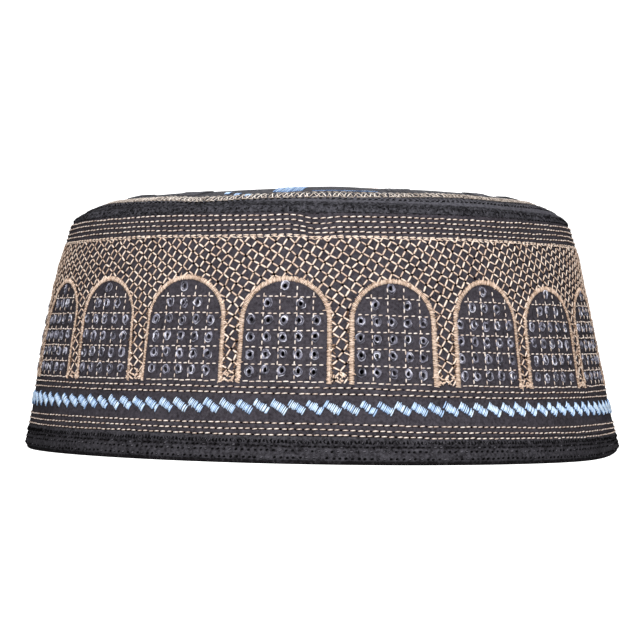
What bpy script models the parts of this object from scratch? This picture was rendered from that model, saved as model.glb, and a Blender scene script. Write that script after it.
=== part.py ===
"""Embroidered skullcap: a leaning cloth wall with pierced eyelets, a folded hem that wraps its
lower edge, a shoulder that turns inwards and a gently domed crown.

Metres, +Z up. The origin is the centre of the cap on the flat underside of the hem, and the
front faces -Y. Angles run from the front towards +X.
"""
from math import atan2, cos, pi, radians, sin

import bmesh
import bpy
from mathutils import Matrix, Vector

# Overall form
RIM_RADIUS = 0.0925      # outer face of the wall's line, at the foot
WALL_LEAN_SHARE = 0.158  # share of the radius lost in the first radius of height
WALL_ROUND_SHARE = 0.049  # further share, which grows with the square of the height
SIDE_HEIGHT = 0.0711     # top edge of the side wall
SHOULDER_WIDTH = 0.0082  # how far the shoulder comes in
SHOULDER_RISE = 0.0050   # how far it goes up
CROWN_RISE = 0.0070      # dome of the crown over its own edge
CROWN_TILT = 0.0010      # how much higher the +X side of the wall's top is than its middle

# Cloth
SIDE_CLOTH = 0.0018
HEM_CLOTH = 0.0010
CROWN_CLOTH = 0.0015
GAP = 0.0003             # clearance left where two pieces are sewn together

# Hem
HEM_HEIGHT = 0.0075
HEM_SWELL = 0.0003       # how far the hem bulges half way up
HEM_EDGE = 0.0006        # rounding of the hem's lower edges
HEM_LEAVE = 0.0030       # height over which the wall comes out of the hem to its own line

# The cap isn't quite round: how many lobes round the plan, and how far out, as shares of the
# radius, with their cosine and sine parts.
PLAN_LOBES = [
    # lobes, cosine, sine
    (4, 0.0090, 0.0028),
]

# Outer line of the shoulder, as shares of its width inwards and of its rise.
SHOULDER_LINE = [
    # inwards, up
    (0.00, 0.00),
    (0.03, 0.18),
    (0.10, 0.30),
    (0.20, 0.40),
    (0.37, 0.53),
    (0.66, 0.76),
    (1.00, 1.00),
]

# Outer line of the crown, as shares of its radius and of its rise.
CROWN_LINE = [
    # radius, up
    (1.00, 0.00),
    (0.94, 0.17),
    (0.87, 0.31),
    (0.78, 0.42),
    (0.57, 0.61),
    (0.28, 0.85),
    (0.10, 0.97),
    (0.00, 1.00),
]

# Arcade of the embroidery, which places the pierced eyelets
ARCHES = 18
GAP_ANGLE = radians(3.12)   # middle of the gap between the two front arches
CELL_WIDTH = 0.00494        # of the small grid in each arch, measured on the wall
CELL_HEIGHT = 0.0048
GRID_FOOT = 0.0227          # height of the arches' base line
EYELET_LIFT = 0.0006        # how far over a cell's middle its eyelet sits
EYELET_RADIUS = 0.00065
EYELET_SIDES = 6
EYELET_COLUMNS = (-2, 0, 2)  # cells from the arch's middle
EYELET_ROWS = (1, 3)         # cells over the base line, the first being 0

# Facets
STEPS_PER_ARCH = 4
STEPS = ARCHES * STEPS_PER_ARCH
SIDE_ROWS = 7

CHARCOAL = (0.067, 0.061, 0.074)
HEM_BLACK = (0.036, 0.033, 0.040)
SHOULDER_BLACK = (0.045, 0.043, 0.051)
CROWN_GREY = (0.095, 0.086, 0.092)


def plan_share(angle):
    """How far out the plan is at an angle, as a share of the round radius."""
    share = 1.0
    for lobes, cosine, sine in PLAN_LOBES:
        share += cosine * cos(lobes * angle) + sine * sin(lobes * angle)
    return share


def wall_radius(height):
    """Radius of the wall's outer face at a height."""
    ratio = height / RIM_RADIUS
    return RIM_RADIUS * (1.0 - WALL_LEAN_SHARE * ratio - WALL_ROUND_SHARE * ratio * ratio)


def wall_direction(height):
    """Unit direction of the wall's outer line, going up, as (radius, height)."""
    slope = -WALL_LEAN_SHARE - 2.0 * WALL_ROUND_SHARE * height / RIM_RADIUS
    return Vector((slope, 1.0)).normalized()


def tucked_radius(height):
    """Radius of the wall's outer face inside the hem."""
    return wall_radius(height) - HEM_CLOTH - GAP


def inner_line(outer, thickness, first, last):
    """The line that lies a thickness inside an outer line. first and last are its directions
    at the ends, so that the ends are cut square to them."""
    inner = []
    for i, point in enumerate(outer):
        if i == 0:
            direction = first
        elif i == len(outer) - 1:
            direction = last
        else:
            before = (point - outer[i - 1]).normalized()
            after = (outer[i + 1] - point).normalized()
            direction = (before + after).normalized()
        inner.append(point + thickness * Vector((-direction.y, direction.x)))
    return inner


def spin_solid(name, outline, closed, colour):
    """A solid turned from an outline of (radius, height) points round the cap's own plan. An
    outline that isn't closed starts and ends on the axis."""
    mesh = bpy.data.meshes.new(name)
    bm = bmesh.new()
    start = GAP_ANGLE + pi / STEPS
    points = [bm.verts.new((p.x * sin(start), -p.x * cos(start), p.y)) for p in outline]
    lines = [bm.edges.new(pair) for pair in zip(points, points[1:])]
    if closed:
        lines.append(bm.edges.new((points[-1], points[0])))
    bmesh.ops.spin(bm, geom=points + lines, cent=(0, 0, 0), axis=(0, 0, 1), angle=2 * pi,
                   steps=STEPS, use_merge=True)
    bmesh.ops.remove_doubles(bm, verts=bm.verts, dist=1e-6)
    for vert in bm.verts:
        share = plan_share(atan2(vert.co.x, -vert.co.y))
        vert.co.x *= share
        vert.co.y *= share
        vert.co.z += CROWN_TILT * vert.co.x / RIM_RADIUS * (vert.co.z / SIDE_HEIGHT) ** 2
    bmesh.ops.recalc_face_normals(bm, faces=bm.faces)
    bm.to_mesh(mesh)
    bm.free()
    piece = bpy.data.objects.new(name, mesh)
    bpy.context.collection.objects.link(piece)
    mesh.materials.append(cloth_material(name, colour))
    mesh.shade_smooth()
    return piece


def cloth_material(name, colour):
    material = bpy.data.materials.new(name)
    material.use_nodes = True
    shader = material.node_tree.nodes["Principled BSDF"]
    shader.inputs["Base Color"].default_value = (*colour, 1.0)
    shader.inputs["Roughness"].default_value = 0.9
    shader.inputs["Metallic"].default_value = 0.0
    return material


def side_band():
    """The wall: its foot is tucked into the hem, and its top edge carries the shoulder."""
    foot = HEM_CLOTH + GAP
    outer = [Vector((tucked_radius(foot), foot)), Vector((tucked_radius(HEM_HEIGHT), HEM_HEIGHT))]
    free = HEM_HEIGHT + HEM_LEAVE
    for row in range(SIDE_ROWS + 1):
        height = free + (SIDE_HEIGHT - free) * row / SIDE_ROWS
        outer.append(Vector((wall_radius(height), height)))
    up = Vector((0.0, 1.0))
    inner = inner_line(outer, SIDE_CLOTH, up, wall_direction(SIDE_HEIGHT))
    band = spin_solid("side_band", outer + inner[::-1], True, CHARCOAL)
    pierce_eyelets(band)
    return band


def pierce_eyelets(band):
    """Cuts the eyelets that the solid carries right through the wall."""
    mesh = bpy.data.meshes.new("eyelet_cutters")
    bm = bmesh.new()
    for arch in range(ARCHES):
        middle = GAP_ANGLE + (arch + 0.5) * 2 * pi / ARCHES
        for row in EYELET_ROWS:
            height = GRID_FOOT + (row + 0.5) * CELL_HEIGHT + EYELET_LIFT
            radius = wall_radius(height)
            for column in EYELET_COLUMNS:
                angle = middle + column * CELL_WIDTH / radius
                reach = radius * plan_share(angle) - 0.5 * SIDE_CLOTH
                place = (Matrix.Rotation(angle, 4, "Z") @ Matrix.Translation((0, -reach, height))
                         @ Matrix.Rotation(pi / 2, 4, "X"))
                bmesh.ops.create_cone(bm, cap_ends=True, segments=EYELET_SIDES, radius1=EYELET_RADIUS,
                                      radius2=EYELET_RADIUS, depth=3 * SIDE_CLOTH, matrix=place)
    bm.to_mesh(mesh)
    bm.free()
    cutters = bpy.data.objects.new("eyelet_cutters", mesh)
    bpy.context.collection.objects.link(cutters)
    cutters.hide_render = True
    cutters.display_type = "WIRE"
    cut = band.modifiers.new("eyelets", "BOOLEAN")
    cut.operation = "DIFFERENCE"
    cut.solver = "EXACT"
    cut.object = cutters


def hem_band():
    """A folded strip whose two legs hold the wall's foot between them."""
    wall_out = tucked_radius(HEM_HEIGHT)
    pocket_out = wall_out + GAP
    pocket_in = wall_out - SIDE_CLOTH - GAP
    inside = pocket_in - HEM_CLOTH
    lean = wall_radius(0.0) - wall_radius(HEM_HEIGHT)
    top = HEM_HEIGHT
    half = 0.5 * HEM_HEIGHT
    outline = [
        (wall_radius(0.0) - HEM_EDGE, 0.0),
        (wall_radius(0.0), HEM_EDGE),
        (wall_radius(half) + HEM_SWELL, half),
        (wall_radius(top) + 0.3 * HEM_SWELL, top - HEM_EDGE),
        (pocket_out + 0.5 * HEM_CLOTH, top),
        (pocket_out, top - 0.5 * HEM_EDGE),
        (pocket_out + lean, HEM_CLOTH),
        (pocket_in + lean, HEM_CLOTH),
        (pocket_in, top - 0.5 * HEM_EDGE),
        (pocket_in - 0.5 * HEM_CLOTH, top),
        (inside, top - HEM_EDGE),
        (inside + lean, HEM_EDGE),
        (inside + lean + HEM_EDGE, 0.0),
    ]
    return spin_solid("hem_band", [Vector(point) for point in outline], True, HEM_BLACK)


def shoulder_foot():
    """Where the shoulder's outer line starts: a gap over the wall's top edge."""
    edge = Vector((wall_radius(SIDE_HEIGHT), SIDE_HEIGHT))
    return edge + GAP * wall_direction(SIDE_HEIGHT)


def crown_direction():
    """Unit direction of the crown's outer line at its edge, going inwards."""
    radius = shoulder_foot().x - SHOULDER_WIDTH
    share_in = (CROWN_LINE[0][0] - CROWN_LINE[1][0]) * radius
    share_up = (CROWN_LINE[1][1] - CROWN_LINE[0][1]) * CROWN_RISE
    return Vector((-share_in, share_up)).normalized()


def crown_seam():
    """The dark shoulder, square to the wall at its foot and to the crown at its other edge."""
    foot = shoulder_foot()
    outer = [foot + Vector((-SHOULDER_WIDTH * inwards, SHOULDER_RISE * up))
             for inwards, up in SHOULDER_LINE]
    inner = inner_line(outer, SIDE_CLOTH, wall_direction(SIDE_HEIGHT), crown_direction())
    return spin_solid("crown_seam", outer + inner[::-1], True, SHOULDER_BLACK)


def crown_panel():
    """The round top, whose edge meets the shoulder's inner edge a gap away."""
    edge = shoulder_foot() + Vector((-SHOULDER_WIDTH, SHOULDER_RISE)) + GAP * crown_direction()
    outer = [Vector((edge.x * share, edge.y + CROWN_RISE * up)) for share, up in CROWN_LINE]
    inner = inner_line(outer, CROWN_CLOTH, crown_direction(), Vector((-1.0, 0.0)))
    return spin_solid("crown_panel", inner[::-1] + outer, False, CROWN_GREY)


def main():
    for item in list(bpy.data.objects):
        bpy.data.objects.remove(item, do_unlink=True)
    side_band()
    hem_band()
    crown_seam()
    crown_panel()


main()
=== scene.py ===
"""The finish of an embroidered skullcap: charcoal cloth, an arcade of tan satin arches with grey
eyelets, a tan net over and between them, running rows, a light blue stitched band, a bound hem
with black stitches, a puckered shoulder and a worked crown.

Metres, +Z up, the front towards -Y. A place on the cap is given by its angle, which goes from the
front towards +X, and its run, which is the way up the cap's outer line from the foot.
"""
from collections import namedtuple
from math import cos, pi, radians, sin, tau

import bpy
import numpy as np

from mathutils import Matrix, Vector


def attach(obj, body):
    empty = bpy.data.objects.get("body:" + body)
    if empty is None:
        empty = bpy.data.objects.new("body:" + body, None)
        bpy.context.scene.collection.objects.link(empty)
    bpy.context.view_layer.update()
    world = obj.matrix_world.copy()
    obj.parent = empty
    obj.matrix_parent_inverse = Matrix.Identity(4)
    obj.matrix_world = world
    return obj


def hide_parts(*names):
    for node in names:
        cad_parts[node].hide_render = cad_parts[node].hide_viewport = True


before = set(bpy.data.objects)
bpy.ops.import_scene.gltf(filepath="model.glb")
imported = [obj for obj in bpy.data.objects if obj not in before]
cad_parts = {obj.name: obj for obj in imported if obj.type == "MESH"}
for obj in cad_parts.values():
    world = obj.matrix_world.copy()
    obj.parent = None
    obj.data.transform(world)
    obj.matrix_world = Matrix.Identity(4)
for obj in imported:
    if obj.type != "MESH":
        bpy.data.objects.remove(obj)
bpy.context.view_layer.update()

MM = 0.001

# The cap's own form, as in its solids
RIM_RADIUS = 92.5 * MM
WALL_LEAN_SHARE = 0.158
WALL_ROUND_SHARE = 0.049
SIDE_HEIGHT = 71.1 * MM
SHOULDER_WIDTH = 8.2 * MM
SHOULDER_RISE = 5.0 * MM
CROWN_RISE = 7.0 * MM
CROWN_TILT = 1.0 * MM
LOBES, LOBE_COSINE, LOBE_SINE = 4, 0.0090, 0.0028
SHOULDER_LINE = ((0.00, 0.00), (0.03, 0.18), (0.10, 0.30), (0.20, 0.40), (0.37, 0.53),
                 (0.66, 0.76), (1.00, 1.00))
CROWN_LINE = ((1.00, 0.00), (0.94, 0.19), (0.88, 0.35), (0.82, 0.46), (0.76, 0.49), (0.68, 0.51),
              (0.57, 0.54), (0.28, 0.73), (0.10, 0.88), (0.00, 0.92))
SIDE_CLOTH = 1.8 * MM
CROWN_CLOTH = 1.5 * MM
GAP = 0.3 * MM

# Slow unevenness of the soft cloth: waves round the cap, waves over a metre up it, where the
# wave starts, and its depth.
SWAY = ((2, 35.0, 1.2, 0.16 * MM), (5, 60.0, 0.4, 0.12 * MM), (9, -75.0, 2.1, 0.09 * MM),
        (14, 90.0, 4.4, 0.06 * MM))

# How far the soft crown is lifted: millimetres across from the cap's axis, and up
CROWN_LIFT = ((-85, 0.0), (-70, 0.0), (-55, -0.25), (-38, -0.75), (-16, 0.0), (-8, 0.35), (2, 0.3),
              (16, -0.05), (35, -0.15), (50, -0.05), (62, 0.1), (75, 0.1), (85, 0.1))

# How far the hem's right corner is lifted
CORNER_LIFT = 2.2 * MM

# How far the soft wall stands out at its right and at its left: heights and millimetres out
RIGHT_PULL = ((0, 1.3), (8, 1.1), (18, 0.4), (30, 0.0), (62, -0.2), (68, -1.1), (70, -1.2),
              (72.5, -2.0), (76, -1.0), (80, -1.0))
LEFT_PULL = ((0, -0.7), (12, -0.5), (25, 0.0), (35, 0.5), (58, 0.7), (66, 0.0), (70, -0.1),
             (72.5, -0.9), (76, 0.0), (80, 0.0))

# Embroidery on the wall
TOP_ROWS = [height * MM for height in (70.2, 68.8, 67.3, 65.9)]
NET_TOP = 64.1 * MM
ARCH_FOOT = 22.8 * MM
MIDDLE_ROWS = [height * MM for height in (21.2, 19.6)]
BLUE_HEIGHT = 15.8 * MM
FOOT_ROWS = [height * MM for height in (11.2, 9.6, 8.05)]
HEM_SPOTS = [height * MM for height in (5.0, 3.75, 1.8)]
HEM_HOOKS = 6.25 * MM

# Where the top rows wander at the front: degrees from the front, and how far up in millimetres
TOP_WANDER = ((-75, 0.0), (-40, 0.3), (-25, 0.08), (-12, 0.0), (-7.5, 0.3), (-5, 0.0), (-2, -1.0),
              (0.5, -0.85), (3, -0.35), (8, -0.35), (25, -0.35), (40, -0.6), (55, -0.35), (75, 0.0))

# How far everything under the top rows sags at an angle: degrees, and up in millimetres
SAG = ((-20, 0.0), (5, 0.0), (12, -0.2), (22, -0.45), (33, -0.6), (45, -0.8), (58, -0.8), (70, -0.5),
       (85, -0.3), (100, 0.0))

# Arches that the photo shows. Degrees from the front to the foot of the left leg and of the right
# leg, and how many degrees further round each is at the arch's top. Then, in millimetres, the
# top's height and how wide the satin is on the left leg and on the right. The rest of the 18 are
# alike and evenly spaced.
FRONT_ARCHES = ((-75.0, -58.8, -0.6, -1.0, 52.2, 1.5, 1.2), (-54.9, -39.3, -1.4, -2.4, 52.3, 1.4, 1.1),
                (-35.65, -18.65, -0.2, -0.9, 52.4, 1.1, 1.6), (-15.2, 1.5, 0.0, 0.0, 52.0, 1.7, 1.7),
                (5.55, 21.65, 0.0, 0.5, 51.8, 1.7, 1.9), (26.2, 41.3, 0.6, 0.9, 52.6, 2.0, 1.3),
                (44.1, 61.1, 1.75, 0.5, 51.6, 1.7, 1.6), (64.4, 80.6, 0.4, 0.8, 51.7, 1.6, 1.4))
ARCHES = 18
# The arches in the middle of the photo, which have two eyelets in their fifth row instead of three
MIDDLE_ARCHES = (3, 4)
REST_ARCH_ACROSS = radians(16.2)
ARCH_SPRING = 40.5 * MM
ARCH_TOP = 52.0 * MM
SATIN_WIDTH = 1.62 * MM
CELL_WIDTH = 4.70 * MM
CELL_HEIGHT = 4.80 * MM
EYELET_PITCH = 4.55 * MM
EYELET_SHIFT = -0.5 * MM
GRID_SHIFT = 0.68 * MM
EYELET_LIFT = 0.6 * MM
HOLE_WIDTH = 1.15 * MM
HOLE_HEIGHT = 1.50 * MM

# Net: the two sides of a cell, in millimetres round and up, where the cap's radius is NET_RADIUS
NET_RADIUS = 83.3 * MM
NET_DOWN = (2.1695, -1.3400)
NET_UP = (1.4433, 2.2225)
# How many of its two sides, down and up, lead once round the cap
NET_AROUND = (172, 104)
# Which cells are tried: more than the wall has room for
NET_COLUMNS, NET_ROWS = np.arange(-80, 260), np.arange(-60, 160)

# Blue band: its blocks, the threads of each, where the first lies, how a block's threads follow
# one another and how each leans
BLUE_BLOCKS = 114
BLUE_THREADS = 10
FIRST_BLUE_BLOCK = radians(2.18)
BLUE_SLOPE = radians(-31)
BLUE_LEAN = radians(61)

# Black rows on the shoulder: two all round, and three where the crown's ring lies further in
SHOULDER_ROWS = [radius * MM for radius in (74.1, 73.1)]
EXTRA_ROWS = [radius * MM for radius in (72.0, 70.9, 69.8)]

# Embroidery on the crown. The ring lies further in at some angles: degrees from the front, and
# millimetres in. What is sewn beside it goes along.
RING_OUTER = 72.5 * MM
RING_INNER = 67.9 * MM
RING_CELLS = 290
RING_PULL = ((-180, 2.0), (-130, 2.8), (-90, 3.4), (-70, 3.0), (-50, 1.4), (-25, 0.3), (-5, 0.0),
             (8, 0.6), (18, 2.2), (28, 3.2), (50, 3.2), (70, 4.2), (90, 5.2), (130, 3.5), (180, 2.0))
MEDALLIONS = 12
FIRST_MEDALLION = radians(-8.7)
CROWN_ROWS = [radius * MM for radius in (37.0, 35.6, 14.0)]
PETALS = 12
FIRST_PETAL = radians(-9.3)
# Two rings of petals: millimetres from the crown's middle to their two ends, and half their width
PETAL_SIZES = ((38.6, 47.5, 5.4), (16.0, 33.5, 3.24))
STAR_POINTS = 8
STAR_THREADS = 24

# Threads
ROW_PITCH = 2.09 * MM
ROW_STITCH = 1.84 * MM
GRID_PITCH = 1.95 * MM
GRID_STITCH = 1.32 * MM
GRID_THREAD = 0.44 * MM
THREAD = 0.43 * MM

# How many steps a cloth has round the cap
STEPS = 144

seeded = np.random.default_rng(7)


# The cap's outer line, and places on it

def smooth_line(points, spacing, passes):
    """Evenly spaced points along a bent line, with its corners eased."""
    points = np.array(points, float)
    run = np.concatenate([[0.0], np.cumsum(np.hypot(*np.diff(points, axis=0).T))])
    even = np.linspace(0.0, run[-1], int(run[-1] / spacing))
    line = np.stack([np.interp(even, run, points[:, 0]), np.interp(even, run, points[:, 1])], 1)
    for _ in range(passes):
        line[1:-1] = 0.25 * line[:-2] + 0.5 * line[1:-1] + 0.25 * line[2:]
    return line


def wall_radius(height):
    """The radius of the wall's outer face at a height."""
    ratio = height / RIM_RADIUS
    return RIM_RADIUS * (1.0 - WALL_LEAN_SHARE * ratio - WALL_ROUND_SHARE * ratio * ratio)


def cap_outline():
    """The outer line from the foot of the wall to the middle of the crown."""
    line = [(wall_radius(z), z) for z in np.linspace(0.0, SIDE_HEIGHT, 40)]
    foot = (wall_radius(SIDE_HEIGHT), SIDE_HEIGHT + GAP)
    line += [(foot[0] - SHOULDER_WIDTH * x, foot[1] + SHOULDER_RISE * z) for x, z in SHOULDER_LINE]
    edge = line[-1]
    line += [(edge[0] * x, edge[1] + CROWN_RISE * z) for x, z in CROWN_LINE[1:]]
    return smooth_line(line, 0.25 * MM, 24)


OUTLINE = cap_outline()
RUN = np.concatenate([[0.0], np.cumsum(np.hypot(*np.diff(OUTLINE, axis=0).T))])
SLOPE = np.gradient(OUTLINE, RUN, axis=0)
MIDDLE_RUN = RUN[-1]
ON_SIDE = OUTLINE[:, 1] < SIDE_HEIGHT + 1.5 * MM
ON_TOP = OUTLINE[:, 1] > SIDE_HEIGHT - 5.0 * MM


def run_at_height(height):
    """The run of a place on the wall, from its height."""
    return np.interp(height, OUTLINE[ON_SIDE, 1], RUN[ON_SIDE])


def run_at_radius(radius):
    """The run of a place on the shoulder or crown, from how far it is from the middle."""
    return np.interp(-np.asarray(radius), -OUTLINE[ON_TOP, 0], RUN[ON_TOP])


def plan_share(angle):
    """How far out of round the cap is at an angle, as a share of its radius."""
    return 1.0 + LOBE_COSINE * np.cos(LOBES * angle) + LOBE_SINE * np.sin(LOBES * angle)


def on_cap(angle, run, out=0.0):
    """Points of the cap's outer face, or as far out of it as out says, as rows of x, y, z."""
    angle, run, out = np.broadcast_arrays(np.asarray(angle, float), run, out)
    radius = np.interp(run, RUN, OUTLINE[:, 0])
    height = np.interp(run, RUN, OUTLINE[:, 1])
    inwards = np.interp(run, RUN, SLOPE[:, 0])
    upwards = np.interp(run, RUN, SLOPE[:, 1])
    size = np.hypot(inwards, upwards)
    calm = np.clip(radius / (0.5 * RIM_RADIUS), 0.0, 1.0) * np.clip(height / (10 * MM), 0.0, 1.0)
    for turns, rise, start, depth in SWAY:
        out = out + depth * calm * np.sin(turns * angle + rise * run + start)
    for side, pull in ((1, RIGHT_PULL), (-1, LEFT_PULL)):
        heights, outs = np.array(pull).T * MM
        radius = radius + np.clip(side * np.sin(angle), 0.0, 1.0) ** 4 * np.interp(height, heights, outs)
    radius = (radius + out * upwards / size) * plan_share(angle)
    x = radius * np.sin(angle)
    y = -radius * np.cos(angle)
    across, lifts = np.array(CROWN_LIFT).T * MM
    on_top_share = np.clip((height - SIDE_HEIGHT - MM) / (3.5 * MM), 0.0, 1.0)
    lift = on_top_share * np.interp(x, across, lifts)
    lift = lift + CROWN_TILT * x / RIM_RADIUS * (height / SIDE_HEIGHT) ** 2
    corner = np.clip(np.sin(angle), 0.0, 1.0) ** 20 * np.clip(1.0 - height / (9 * MM), 0.0, 1.0)
    return np.stack([x, y, height - out * inwards / size + lift + CORNER_LIFT * corner], -1)


def at(angle, height):
    """Places from their angles and their heights, or their radii on the crown."""
    return np.stack(np.broadcast_arrays(angle, height), -1)


def on_wall(place, out=0.0):
    """Points at (angle, height) places on the wall."""
    return on_cap(place[..., 0], run_at_height(place[..., 1]), out)


def on_hem(place, out=0.0):
    """Points at (angle, height) places on the bound hem."""
    return on_wall(place, out + np.interp(place[..., 1], *HEM_FACE))


def on_top(place, out=0.0):
    """Points at (angle, radius) places on the shoulder and crown."""
    return on_cap(place[..., 0], run_at_radius(place[..., 1]), out)


def by_angle(table, angle):
    """A length at an angle, from a table of degrees from the front and of millimetres."""
    degrees, lengths = np.array(table).T
    turned = (np.asarray(angle) + pi) % tau - pi
    return np.interp(turned, np.radians(degrees), lengths * MM)


def ring_pull(angle):
    """How far in the crown's ring lies from its round at an angle."""
    return by_angle(RING_PULL, angle)


def on_edge(place, out=0.0):
    """Points at (angle, radius) places of the embroidery at the crown's edge."""
    radius = place[..., 1]
    pulled = radius - (radius / RING_OUTER) ** 3 * ring_pull(place[..., 0])
    return on_top(at(place[..., 0], pulled), out)


def on_crown(place, out=0.0):
    """Points over flat (x, y) places on the crown."""
    radius = np.hypot(place[..., 0], place[..., 1])
    angle = np.arctan2(place[..., 0], -place[..., 1])
    return on_cap(angle, run_at_radius(radius), out)


def wander(angle):
    """How far up the top rows lie out of their place at an angle."""
    return by_angle(TOP_WANDER, angle)


def sag(angle):
    """How far up things under the top rows lie out of their place at an angle."""
    return by_angle(SAG, angle)


# An arch: the angles of its legs' feet, how much further round its legs are at the top, its top's
# height, and the widths of its legs
Arch = namedtuple("Arch", "left right left_lean right_lean top left_width right_width")


def arch_table():
    """The arches in order round the cap."""
    arches = [Arch(*np.radians(row[:4]), *np.multiply(row[4:], MM)) for row in FRONT_ARCHES]
    first, last = arches[0].left + tau, arches[-1].right
    rest = ARCHES - len(arches)
    gap = (first - last - rest * REST_ARCH_ACROSS) / (rest + 1)
    for number in range(rest):
        left = last + gap + number * (REST_ARCH_ACROSS + gap)
        arches.append(Arch(left, left + REST_ARCH_ACROSS, 0.0, 0.0, ARCH_TOP, SATIN_WIDTH,
                           SATIN_WIDTH))
    return arches


ARCH_TABLE = arch_table()


def arch_legs(arch, height):
    """Angles of an arch's left and right leg at a height."""
    share = np.clip((height - ARCH_FOOT) / (arch.top - ARCH_FOOT), 0.0, 1.0)
    return arch.left + arch.left_lean * share, arch.right + arch.right_lean * share


def in_arch(angle, height, margin):
    """True where a place lies in an arch, whose outline is moved out by a margin."""
    inside = np.zeros(np.shape(angle), bool)
    height = height - sag(angle)
    radius = wall_radius(ARCH_FOOT)
    for arch in ARCH_TABLE:
        left, right = arch_legs(arch, height)
        across = np.abs((angle - 0.5 * (left + right) + pi) % tau - pi) * radius
        wide = 0.5 * (right - left) * radius + margin
        share = np.clip(across / wide, 0.0, 1.0)
        top = ARCH_SPRING + (arch.top + margin - ARCH_SPRING) * np.sqrt(1.0 - share * share)
        inside |= (share < 1.0) & (height < top)
    return inside


# Meshes

def deselect():
    """Leaves edit mode and selects nothing."""
    if bpy.context.object and bpy.context.object.mode == "EDIT":
        bpy.ops.object.mode_set(mode="OBJECT")
    bpy.ops.object.select_all(action="DESELECT")


def finish_piece(piece, name, finish):
    """Gives a piece its name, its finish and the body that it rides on."""
    piece.name = name
    piece.data.name = name
    piece.data.materials.clear()
    piece.data.materials.append(finish)
    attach(piece, "root")
    return piece


def mesh_piece(name, points, faces, finish, shades, uvs):
    """A piece from arrays of points and of faces with three or four corners, with each point's
    shade and its place on the thread."""
    mesh = bpy.data.meshes.new(name)
    corners = np.concatenate([np.asarray(f, np.int64).ravel() for f in faces])
    totals = np.concatenate([np.full(len(f), f.shape[1]) for f in faces])
    starts = np.concatenate([[0], np.cumsum(totals)[:-1]])
    mesh.vertices.add(len(points))
    mesh.vertices.foreach_set("co", points.astype(np.float32).ravel())
    mesh.loops.add(len(corners))
    mesh.loops.foreach_set("vertex_index", corners.astype(np.int32))
    mesh.polygons.add(len(totals))
    mesh.polygons.foreach_set("loop_start", starts.astype(np.int32))
    mesh.polygons.foreach_set("use_smooth", np.ones(len(totals), bool))
    mesh.update(calc_edges=True)
    layer = mesh.attributes.new("shade", "FLOAT", "POINT")
    layer.data.foreach_set("value", shades.astype(np.float32))
    layer = mesh.uv_layers.new(name="thread")
    layer.data.foreach_set("uv", uvs[corners].astype(np.float32).ravel())
    piece = bpy.data.objects.new(name, mesh)
    bpy.context.collection.objects.link(piece)
    return finish_piece(piece, name, finish)


def unit(rows):
    """Rows of directions made one long."""
    return rows / (np.linalg.norm(rows, axis=-1, keepdims=True) + 1e-12)


def repeated(faces, count, points):
    """The faces of one shape, for as many shapes of so many points each."""
    base = (np.arange(count) * points)[:, None, None]
    faces = np.array(faces)
    return (base + faces).reshape(-1, faces.shape[1])


class Stitches:
    """Threads gathered for one piece. Each is a short tapering tube of four sides, whose ends
    dip into the cloth."""

    STATIONS = (0.0, 0.13, 0.5, 0.87, 1.0)
    SIDES = 4

    def __init__(self):
        self.points = []
        self.shades = []
        self.uvs = []
        self.count = 0

    def sew(self, field, starts, ends, width=THREAD, lift=0.12 * MM, flat=0.65, sink=0.28 * MM,
            shade=(0.90, 1.14), crown=0.07 * MM, end_shade=0.2, edge_shade=0.72,
            near_end=0.95, swell=(0.88, 1.0, 0.88)):
        """Threads between two lists of places, which field turns into points of the cap. lift is
        how far the thread lies out of the cloth, crown how much further in the middle, and
        sink how deep its ends go. flat is its height as a share of its width, near_end how light
        it is near its ends, as painted shade there, and swell its width near its start, in its
        middle and near its end. shade is the range of each thread's random tone. end_shade is
        painted shade on the sunk tips, and edge_shade painted shade on the thread's sides."""
        starts, ends = np.asarray(starts, float), np.asarray(ends, float)
        n = len(starts)
        if n == 0:
            return
        width = np.broadcast_to(width, n) * seeded.uniform(0.88, 1.12, n)
        height = flat * width
        lift = np.broadcast_to(lift, n) + seeded.uniform(-0.04, 0.06, n) * MM
        middle = 0.5 * (starts + ends)
        along = field(ends) - field(starts)
        length = np.linalg.norm(along, axis=1)
        normal = unit(field(middle, MM) - field(middle))
        side = unit(np.cross(unit(along), normal))
        rings = []
        for station, share in zip(self.STATIONS, (0.0, *swell, 0.0)):
            place = starts + (ends - starts) * station
            if share == 0.0:
                rings.append(field(place, np.full(n, -sink))[:, None])
                continue
            centre = field(place, lift + (crown if station == 0.5 else 0.0))
            wide = side * (0.5 * share * width)[:, None]
            high = normal * (0.5 * share * height)[:, None]
            rings.append(np.stack([centre + wide, centre + high, centre - wide, centre - high], 1))
        tone = seeded.uniform(*shade, n)
        # Painted light round each thread: a highlight on its outer top, and painted shade on its sides,
        # more on the side that is lower for a stitch sewn left to right, and on its underside.
        painted_round_light = [0.85 * edge_shade, 1.06, edge_shade, 0.5]
        # Painted shade near the ends, and at the sunk tips.
        body = [near_end * value for value in painted_round_light] + painted_round_light
        body += [near_end * value for value in painted_round_light]
        painted_light = np.array([end_shade] + body + [end_shade])
        turn = np.array([0.0] + [0.0, 0.25, 0.5, 0.75] * 3 + [0.0])
        share = np.array([0.0] + [0.13] * 4 + [0.5] * 4 + [0.87] * 4 + [1.0])
        self.points.append(np.concatenate(rings, 1).reshape(-1, 3))
        self.shades.append((tone[:, None] * painted_light).ravel())
        along_thread = length[:, None] / MM * share
        self.uvs.append(np.stack([along_thread, np.tile(turn, (n, 1))], -1).reshape(-1, 2))
        self.count += n

    def piece(self, name, finish, slot):
        """Makes the piece of all threads sewn so far."""
        sides = self.SIDES
        quads, tris = [], []
        last = 1 + 3 * sides
        for k in range(sides):
            beside = (k + 1) % sides
            tris.append([0, 1 + k, 1 + beside])
            tris.append([last, last - sides + beside, last - sides + k])
            for ring in (1, 1 + sides):
                quads.append([ring + k, ring + sides + k, ring + sides + beside, ring + beside])
        faces = [repeated(quads, self.count, last + 1), repeated(tris, self.count, last + 1)]
        mesh_piece(name, np.concatenate(self.points), faces, finish,
                   np.concatenate(self.shades), np.concatenate(self.uvs))


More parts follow.
